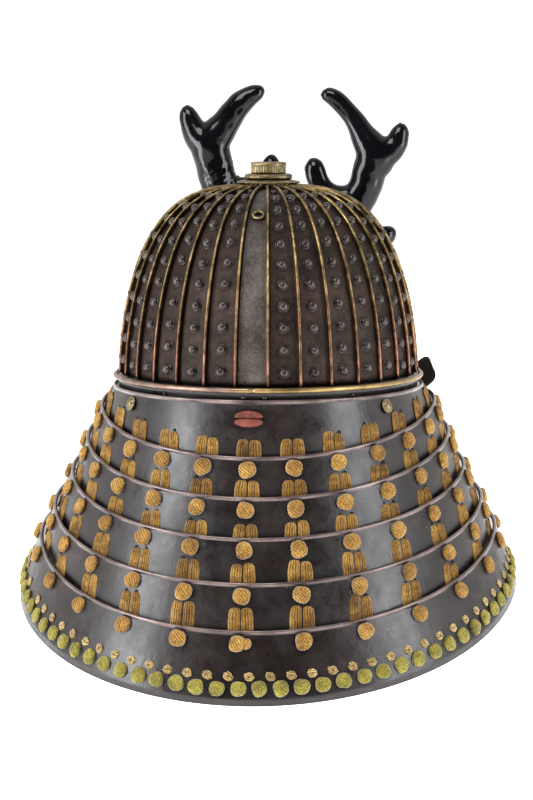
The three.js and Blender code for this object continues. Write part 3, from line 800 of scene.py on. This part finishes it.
# ---- lacing
def strand_pair(height):
    """Two flat braids side by side: rounded tops, upright ribs, edges that turn under."""
    parts = []
    for side in (-1, 1):
        half = 4.15 + rng.uniform(-0.2, 0.15)
        middle = side * 4.25
        top = height * (1 + rng.uniform(-0.05, 0.05))
        lean = rng.uniform(-0.35, 0.35)
        stations = np.concatenate([np.linspace(0, 3.2, 7), np.linspace(3.8, top + 0.6, 16)])
        across = np.linspace(-1, 1, 31)
        rows = []
        for s in stations:
            round_off = math.sqrt(max(0.0, 1 - max(0.0, 1 - s / 3.4) ** 2))
            width = half * (0.38 + 0.62 * round_off) * (0.9 + 0.1 * min(s / 7, 1))
            body = (1 - np.abs(across) ** 3.2) * (0.35 + 0.65 * round_off)
            ribs = np.abs(np.sin((across + 1) * math.pi * 2.5 + 0.25 * math.sin(s * 0.7)))
            plait = 0.12 * np.sin(s * 3.6 + 5 * np.abs((across * 2.5) % 1 - 0.5))
            out = 0.25 + body * (0.55 + 1.0 * ribs ** 0.6) + plait * body
            u = (middle + lean * (1 - s / top)) * (0.84 + 0.16 * min(s / 7, 1)) + across * width
            front = np.stack([u, np.full(len(across), s - top), out], 1)
            back = np.array([[middle + width * 0.8, s - top, 0.12],
                             [middle - width * 0.8, s - top, 0.12]])
            rows.append(np.concatenate([front, back]))
        parts.append(swept(np.array(rows)))
    return joined(parts)


def ball(seed, pitch=1.75, depth=0.85, height=4.0, radius=6.3):
    """A flattened, rather square knot with strands running slantwise over it."""
    r = np.random.default_rng(seed)
    rows, columns = 45, 15
    across, lay = np.meshgrid(np.linspace(-1, 1, rows), np.linspace(-1, 1, columns),
                              indexing="ij")
    x = across * np.sqrt(1 - 0.5 * lay ** 2)
    y = lay * np.sqrt(1 - 0.5 * across ** 2)
    turn = np.arctan2(y, x)
    outline = (1 + 0.035 * np.cos(4 * turn + r.uniform(-0.5, 0.5))
               + 0.035 * np.sin(2 * turn + r.uniform(0, 6))
               + 0.03 * np.sin(3 * turn + r.uniform(0, 6)))
    edge = np.maximum(np.abs(across), np.abs(lay))
    body = np.clip(1 - edge ** 3.0, 0, 1) ** 0.5
    wander = 0.45 * np.sin(y * 2.2 + r.uniform(0, 6)) + 0.2 * np.sin(x * 5 + r.uniform(0, 6))
    strand = np.abs(np.sin(math.pi * (x * radius + wander) / pitch)) ** 0.7 - 0.55
    lumps = 0.35 * np.sin(x * 3.1 + r.uniform(0, 6)) * np.sin(y * 3.4 + r.uniform(0, 6))
    rise = height * body + (depth * strand + lumps) * np.clip(body * 2, 0, 1)
    slant = math.radians(45 + r.uniform(-14, 14))
    reach = radius * 0.96 * outline * (1 + 0.05 * strand * edge)
    u = reach * (x * math.cos(slant) - y * math.sin(slant))
    v = reach * (x * math.sin(slant) + y * math.cos(slant))
    verts = np.stack([u, v, rise], -1).reshape(-1, 3)
    faces = grid_faces(rows, columns)
    rim = [i * columns for i in range(rows)]
    rim += [(rows - 1) * columns + j for j in range(1, columns)]
    rim += [i * columns + columns - 1 for i in range(rows - 2, -1, -1)]
    rim += range(columns - 2, 0, -1)
    faces.append(tuple(rim))
    return orient(verts, faces)


def braid_pair(row, angle):
    """A pair of braids on its lame, and frames for the dark discs at their tops, painted shade that
    stands for the lace holes.
    """
    foot, along, down, out = face_frame(row, angle)
    low = tucked_edge(row, angle)
    free = np.linalg.norm(low - foot) - (1 if row == 1 else 12.0)
    top = min(free, TAB_ABOVE[row - 1] + LAME_OVERLAP)
    verts, faces = strand_pair(top)
    twist = math.radians(rng.uniform(-1.6, 1.6))
    a = along * math.cos(twist) + down * math.sin(twist)
    d = down * math.cos(twist) - along * math.sin(twist)
    holes = []
    for side in (-1, 1):
        place = low + a * side * 4.1 + d * (-top + 0.2 + rng.uniform(-0.3, 0.3))
        holes.append((place, a, d, out, rng.uniform(0.9, 1.12)))
    return copies(verts, faces, [(low, a, d, out, 1.0)]), holes


def lace_knots(row, k, angle, balls):
    """The knot under the next lame's edge. The last row's middle one has a smaller twin."""
    frame_at = face_frame(row + 1, angle)
    place = at(frame_at, rng.uniform(-0.4, 0.4), KNOT_BELOW - LIP_FOOT
               + rng.uniform(-0.25, 0.35), 0.15)
    size = rng.uniform(0.93, 1.0)
    knot = balls[rng.randrange(len(balls))]
    if row != 5 or k != 0:
        return [copies(*knot, [(place, *frame_at[1:], size)])]
    along = face_frame(row, angle)[1]
    return [copies(*knot, [(place + along * 1.4, *frame_at[1:], 0.92)]),
            copies(*balls[2], [(place - along * 4.4, *frame_at[1:], 0.60)])]


def build_lacing():
    """Five rows: pairs of braids that go in behind the next lame, and a knot under its edge."""
    balls = [ball(20 + i) for i in range(7)]
    disc, disc_faces = swept(lathe([(1.75, 0.0), (1.75, 0.34), (1.2, 0.44), (0.4, 0.46)], 14))
    disc = disc * np.array([1.0, 0.95, 1.0])
    for row in range(1, 6):
        tabs, knots, holes = [], [], []
        for k in LACE_COLUMNS:
            angle = LACE_PITCH * k + LACE_START
            tab, pair = braid_pair(row, angle)
            tabs.append(tab)
            holes += pair
            knots += lace_knots(row, k, angle, balls)
        piece = make_piece(f"lacing_row_{row}_look", *orient(*joined(tabs)), OCHRE, "lace_ochre")
        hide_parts(f"lacing_row_{row}")
        piece = make_piece(f"knot_row_{row}_look", *orient(*joined(knots)), OCHRE_KNOT,
                           "lace_ochre")
        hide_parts(f"knot_row_{row}")
        make_piece(f"lace_holes_{row}", *orient(*copies(disc, disc_faces, holes)), HOLE_SHADE,
                   "lame_lacquer")


def build_edge_knots():
    """Green knots along the bottom edge, with small tan cross-knots staggered above them."""
    balls = [ball(60 + i, pitch=1.6, depth=0.65, height=3.3, radius=5.9) for i in range(6)]
    greens, tans = [], []
    for k in EDGE_KNOTS:
        angle = EDGE_PITCH * k + LACE_START
        _, along, down, out = face_frame(6, angle)
        origin = tucked_edge(6, angle) - down * EDGE_KNOTS_ABOVE
        place = origin + along * rng.uniform(-0.4, 0.4) + down * rng.uniform(-0.4, 0.4) \
            + out * 0.15
        knot = balls[rng.randrange(len(balls))]
        greens.append(copies(*knot, [(place, along, down, out, rng.uniform(0.9, 0.97))]))
        angle += EDGE_PITCH / 2
        if k == EDGE_KNOTS[-1] or k in MISSING_CROSS_KNOTS:
            continue
        _, along, down, out = face_frame(6, angle)
        origin = tucked_edge(6, angle) - down * (EDGE_KNOTS_ABOVE + CROSS_KNOTS_ABOVE)
        tans.extend(cross_knot(origin, along, down, out))
    verts, faces = joined(greens)
    green = make_piece("edge_knots_look", *orient(verts, faces), GREEN, "lace_green")
    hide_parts("edge_knot_row")
    make_piece("cross_knots", *joined(tans), TAN, "lace_ochre")


def cross_knot(origin, along, down, out):
    """Short fat strands pulled together at the middle, like a small tied bundle."""
    parts = []
    tilt = rng.uniform(0.05, 0.75)
    for n in range(5):
        row = (n - 2) * 1.1
        length = (2.4, 3.1, 3.4, 3.1, 2.3)[n] * rng.uniform(0.9, 1.1)
        lean = tilt + rng.uniform(-0.16, 0.16)
        s = np.linspace(-1, 1, 9)
        spread = row * (1.05 - 0.35 * np.abs(s) ** 2)
        a = -spread * math.sin(tilt) + s * length * math.cos(lean)
        d = -spread * math.cos(tilt) - s * length * math.sin(lean)
        o = 0.4 + 1.2 * (1 - np.abs(s) ** 2.5) * (1 - 0.2 * abs(n - 2)) \
            - (1.3 if n == 2 else 0.3) * np.exp(-(s / 0.3) ** 2)
        path = origin + a[:, None] * along + d[:, None] * down + o[:, None] * out
        parts.append(tube(path, 0.62 * (1 - 0.2 * s ** 2), 7, 0.9, out))
    return parts


def build_frays():
    """Broken silk standing out from the lacing here and there."""
    places = ((1, -7, 5, -9), (1, -7, 3, -6), (3, -6, -8, -4), (2, -7, 8, -10), (2, 7, -6, -2),
              (2, 6, 8, -6), (5, 4, -6, 1), (4, 6, 6, -3), (5, 6, 5, -4), (3, 7, -4, -6))
    parts = []
    for row, column, u, v in places:
        angle = LACE_PITCH * column + LACE_START
        _, along, down, out = face_frame(row, angle)
        start = tucked_edge(row, angle) + along * u + down * v + out * 0.7
        for _ in range(5):
            s = np.linspace(0, 1, 9)[:, None]
            reach = rng.uniform(3.0, 7.5)
            lean, curl = rng.uniform(-1.2, 1.2), rng.uniform(-3.5, 3.5)
            path = start + (along * lean + down * rng.uniform(-0.8, 0.9)) * reach * s \
                + out * 2.4 * np.sin(s * 2.4) + along * curl * s ** 2
            parts.append(tube(path, 0.2, 4, 1.0, out))
    make_piece("lace_frays", *joined(parts), OCHRE, "lace_ochre")


# ---- small fittings
def build_studs():
    """Brass buttons with scalloped edges on the first lame."""
    boss = [(4.9, 0.0), (5.0, 0.6), (4.7, 1.1), (4.2, 1.2), (3.8, 1.0), (3.5, 1.1),
            (3.1, 1.9), (2.4, 2.6), (1.4, 3.0), (0.4, 3.1)]

    def scallops(turn, number):
        return 0.035 * np.cos(12 * turn) * (number < 4)
    verts, faces = swept(lathe(boss, 48, scallops))
    for name, side in (("stud_left", 1), ("stud_right", -1)):
        frame_at = lame_frame(1, np.array(side * STUD_ANGLE))
        place = at(frame_at, 0, KNOT_BELOW, 0)
        shape = copies(verts, faces, [(place, *frame_at[1:], 1.0)])
        stud = make_piece(name + "_look", *orient(*shape), BRASS, "crown_brass")
        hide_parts(name)


def build_back_knot():
    """Red leather in two lobes, one above the other."""
    frame_at = lame_frame(1, np.array(LACE_START))
    turn = turns(18)
    parts = []
    for middle, half, thick, bow in ((-1.7, 2.5, 2.9, 1.9), (2.1, 2.8, 3.4, -1.2)):
        rows = []
        for x in np.linspace(-1, 1, 25):
            width = math.sqrt(max(0.0, 1 - abs(x) ** 2.6)) + 0.02
            v = middle + bow * (1 - x * x) * -0.6 + half * width * np.cos(turn)
            rise = 0.5 + thick * (0.35 + 0.65 * width) * (0.5 + 0.5 * np.sin(turn))
            rows.append(np.stack([np.full(len(turn), 9.6 * x), v, rise], 1))
        parts.append(swept(np.array(rows)))
    shape = copies(*joined(parts), [(at(frame_at, 0, BACK_KNOT_BELOW, 0), *frame_at[1:], 1.0)])
    knot = make_piece("back_knot_look", *orient(*shape), LEATHER, "red_leather")
    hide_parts("back_knot")


def build_back_ring():
    """A brass ring on its staple near the top of the blank plate."""
    frame_at = dome_frame(np.array(0.0), RING_LATITUDE)
    radius, wire = 3.6, 0.85
    section = turns(10)
    rows = []
    for t in turns(32):
        centre = np.array([radius * math.sin(t), 3.2 + radius * math.cos(t), 1.6])
        axis = np.array([math.sin(t), math.cos(t), 0.0])
        rows.append(centre + wire * (np.cos(section)[:, None] * axis
                                     + np.sin(section)[:, None] * np.array([0, 0, 1.0])))
    ring = swept(np.array(rows), ring=True)
    s = np.linspace(0, math.pi, 13)
    loop = np.stack([1.0 * np.cos(s), 0 * s - 0.4, 0.2 + 2.7 * np.sin(s)], 1)
    verts, faces = joined([ring, tube(loop, 0.6, 8, 1.0, (0, 1, 0))])
    piece = make_piece("back_ring_look", *orient(*copies(verts, faces, [(*frame_at, 1.0)])),
                       BRASS, "crown_brass")
    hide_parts("back_ring")


# ---- visor, holder and antlers
def build_visor():
    """A plain sloping peak, black above and red below."""
    half_width, half_length, top, _ = RINGS[0]
    sections = []
    for share in np.linspace(-1, 1, 81):
        angle = VISOR_HALF_ANGLE * share
        grown = max(0.0, math.cos(share * math.pi / 2)) ** 0.6
        reach = VISOR_END_REACH + (VISOR_REACH - VISOR_END_REACH) * grown
        fall = VISOR_FALL * reach / VISOR_REACH
        profile = [(0.2, 0), (reach * 0.5, -fall * 0.46), (reach - 2.2, -fall * 0.93),
                   (reach - 1.5, -fall + 1.3), (reach - 0.3, -fall + 1.2),
                   (reach, -fall), (reach - 0.5, -fall - 1.5), (reach * 0.5, -fall * 0.46 - 1.8),
                   (-1.3, -2.6), (-1.3, 0)]
        sections.append([((half_width + out) * math.sin(angle),
                          -(half_length + out) * math.cos(angle), top + height)
                         for out, height in profile])
    verts, faces = swept(np.array(sections))
    index = [int(len(f) == 4 and min(i % 10 for i in f) in (5, 6, 7)) for f in faces]
    visor = make_piece("visor_look", verts, faces, [LACQUER, INNER_LACQUER], "lame_lacquer",
                       face_material=index)
    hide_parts("visor")


def build_holder():
    """The socket the antlers plug into, standing on the visor."""
    low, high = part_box("crest_holder")
    low, high = np.array(low) / MM, np.array(high) / MM
    slope = VISOR_FALL / VISOR_REACH
    front_low = low[2]
    back_low = front_low + slope * (high[1] - low[1])
    corners = []
    for x in (low[0], high[0]):
        corners += [(x, low[1], front_low), (x, high[1], back_low), (x, high[1], high[2]),
                    (x, low[1], high[2])]
    faces = [(0, 1, 2, 3), (7, 6, 5, 4), (0, 4, 5, 1), (1, 5, 6, 2), (2, 6, 7, 3), (3, 7, 4, 0)]
    holder = make_piece("crest_holder_look", *orient(np.array(corners), faces), BRASS,
                        "crown_brass", smooth=False)
    bevel = holder.modifiers.new("soft edges", "BEVEL")
    bevel.width = 1.2 * MM
    bevel.segments = 3
    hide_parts("crest_holder")


# A branch is a row of (x, z, radius): a beam runs up from the holder, and tines leave it.
LEFT_ANTLER = (
    ((12, 20, 8), (17, 42, 8.5), (32, 72, 10), (43, 100, 11.5), (48, 124, 13), (53, 143, 13.5),
     (55, 158, 14), (44, 174, 10.5), (38, 183, 9.3), (31, 191, 8.4), (18, 199, 5.2)),
    ((56, 156, 14), (67, 167, 9.5), (72, 179, 7.2), (74, 185, 5)),
    ((46, 126, 10.5), (30, 124.5, 9), (18, 129.5, 8.4), (11, 138, 8), (9.3, 148, 5.6)),
    ((42, 92, 10), (58, 84, 9), (70, 86, 8), (78, 94, 6)),
)
RIGHT_ANTLER = (
    ((-12, 20, 8), (-17, 42, 8.5), (-30, 66, 10), (-46, 92, 11), (-53, 110, 11.5),
     (-60, 125, 12), (-64, 140, 12.5), (-68, 150, 14), (-58.5, 166, 9), (-53, 176, 7.6),
     (-46, 184.5, 6.6), (-37.5, 193, 5.9), (-30, 196.5, 5)),
    ((-69, 149, 14), (-82, 157, 9), (-86, 165, 7.2), (-88, 171.5, 5.4)),
    ((-58, 120, 10.5), (-46, 118, 9.5), (-34, 121, 8.6), (-26.5, 129, 8), (-23, 139, 7.2),
     (-21.5, 145.5, 5.6)),
    ((-42, 88, 10), (-58, 83, 9), (-70, 85, 8), (-80, 93.5, 6.4)),
)


def branch(knots):
    line = spline(knots, 12 * len(knots))
    path = np.stack([line[:, 0], np.full(len(line), ANTLER_PLANE), line[:, 1]], 1)
    radii = line[:, 2].copy()
    radii[-4:] *= np.array([1.0, 0.98, 0.93, 0.8])
    return tube(path, radii, 24, 0.85, (0, 1, 0))


def melted(name, branches):
    """One mesh of the branches run together."""
    verts, faces = joined([branch(knots) for knots in branches])
    rough = bpy.data.meshes.new(name + "_rough")
    rough.from_pydata((verts * MM).tolist(), [], faces)
    block = add_object(name + "_rough", rough)
    remesh = block.modifiers.new("melt", "REMESH")
    remesh.mode = "VOXEL"
    remesh.voxel_size = VOXEL * MM
    relax = block.modifiers.new("relax", "SMOOTH")
    relax.factor, relax.iterations = 0.5, 16
    graph = bpy.context.evaluated_depsgraph_get()
    mesh = bpy.data.meshes.new_from_object(block.evaluated_get(graph))
    bpy.data.objects.remove(block)
    return mesh


def carve(mesh, carved):
    """Ripples the surface, adds a knobbly patch if asked and cuts the foot flat."""
    count = len(mesh.vertices)
    points = np.zeros(count * 3)
    mesh.vertices.foreach_get("co", points)
    normals = np.zeros(count * 3)
    mesh.vertices.foreach_get("normal", normals)
    points, normals = points.reshape(-1, 3) / MM, normals.reshape(-1, 3)
    x, y, z = points.T
    ripple = 0.3 * np.sin(z * 0.16 + x * 0.1) + 0.1 * np.sin(z * 0.4 - x * 0.3 + y * 0.2)
    if carved:
        patch = np.clip((z - 62) / 12, 0, 1) * np.clip((150 - z) / 16, 0, 1)
        patch *= np.clip((64 - x) / 8, 0, 1)
        bumps = np.sin(x * 0.95 + 1.7 * np.sin(z * 0.33)) * np.sin(z * 0.85 + y * 0.6)
        ripple = ripple + patch * (0.7 * np.maximum(bumps, -0.25) + 0.35 * np.sin(z * 1.9 + x))
    points += normals * (ripple[:, None] + ANTLER_FILL)
    points[:, 2] = np.maximum(points[:, 2], ANTLER_FOOT)
    mesh.vertices.foreach_set("co", (points * MM).ravel())


def build_antler(name, branches, carved):
    mesh = melted(name, branches)
    carve(mesh, carved)
    mesh.polygons.foreach_set("use_smooth", [True] * len(mesh.polygons))
    mesh.materials.clear()
    mesh.materials.append(ANTLER)
    antler = add_object(name + "_look", mesh)
    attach(antler, "root")
    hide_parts(name)


# ---- floor, light and camera
def build_floor():
    white = Nodes("floor_white")
    white.set(Base_Color=(0.95, 0.95, 0.95, 1), Roughness=0.9, Emission_Color=(1, 1, 1, 1),
              Emission_Strength=1.0)
    mesh = bpy.data.meshes.new("floor")
    reach = 6.0
    level = -0.29
    mesh.from_pydata([(-reach, -reach, level), (reach, -reach, level), (reach, reach, level),
                      (-reach, reach, level)], [], [(0, 1, 2, 3)])
    mesh.materials.append(white.material)
    add_object("floor", mesh)


def soft_box(name, place, target, size, energy, colour=(1, 1, 1)):
    data = bpy.data.lights.new(name, "AREA")
    data.shape = "RECTANGLE"
    data.size, data.size_y = size
    data.energy = energy
    data.color = colour
    lamp = add_object(name, data)
    lamp.location = place
    lamp.rotation_euler = (Vector(target) - Vector(place)).to_track_quat("-Z", "Y").to_euler()


def build_world():
    """White all round, falling off to grey on the side the helmet's back faces."""
    world = bpy.data.worlds.new("studio")
    bpy.context.scene.world = world
    world.use_nodes = True
    tree = world.node_tree
    place = tree.nodes.new("ShaderNodeTexCoord")
    split = tree.nodes.new("ShaderNodeSeparateXYZ")
    ramp = tree.nodes.new("ShaderNodeValToRGB")
    tree.links.new(place.outputs["Generated"], split.inputs[0])
    tree.links.new(split.outputs["Y"], ramp.inputs["Fac"])
    tree.links.new(ramp.outputs["Color"], tree.nodes["Background"].inputs["Color"])
    stops = ramp.color_ramp.elements
    stops[0].position, stops[0].color = 0.0, (1, 1, 1, 1)
    stops[1].position, stops[1].color = 0.42, (0.10, 0.10, 0.105, 1)
    tree.nodes["Background"].inputs["Strength"].default_value = 1.0


def build_light():
    middle = (0, 0, -0.03)
    soft_box("box_left", (1.25, 0.75, 0.3), middle, (0.6, 1.2), 20, (0.94, 0.97, 1.0))
    soft_box("box_right", (-1.35, 0.6, 0.3), middle, (0.6, 1.2), 15, (0.94, 0.97, 1.0))
    soft_box("box_top", (0.3, 0.9, 1.3), middle, (0.9, 0.7), 14)
    view = bpy.context.scene.view_settings
    view.view_transform = "Standard"
    view.look = "Medium High Contrast"


def build_camera():
    data = bpy.data.cameras.new("camera")
    data.lens, data.sensor_width = 121.05, 36
    data.clip_start, data.clip_end = 0.05, 20
    camera = add_object("camera", data)
    target = Vector((1.365, 0.122, -19.4)) * MM
    turn, rise = math.radians(5.12), math.radians(6.27)
    away = Vector((-math.sin(turn) * math.cos(rise), math.cos(turn) * math.cos(rise),
                   math.sin(rise)))
    distance = 1.9
    camera.location = target + away * distance
    camera.rotation_euler = away.to_track_quat("Z", "Y").to_euler()
    bpy.context.scene.camera = camera


build_plates()
build_rivets()
build_rim()
build_crown()
build_lames()
build_lacing()
build_edge_knots()
build_frays()
build_studs()
build_back_knot()
build_back_ring()
build_visor()
build_holder()
build_antler("antler_left", LEFT_ANTLER, True)
build_antler("antler_right", RIGHT_ANTLER, False)
build_floor()
build_world()
build_light()
build_camera()
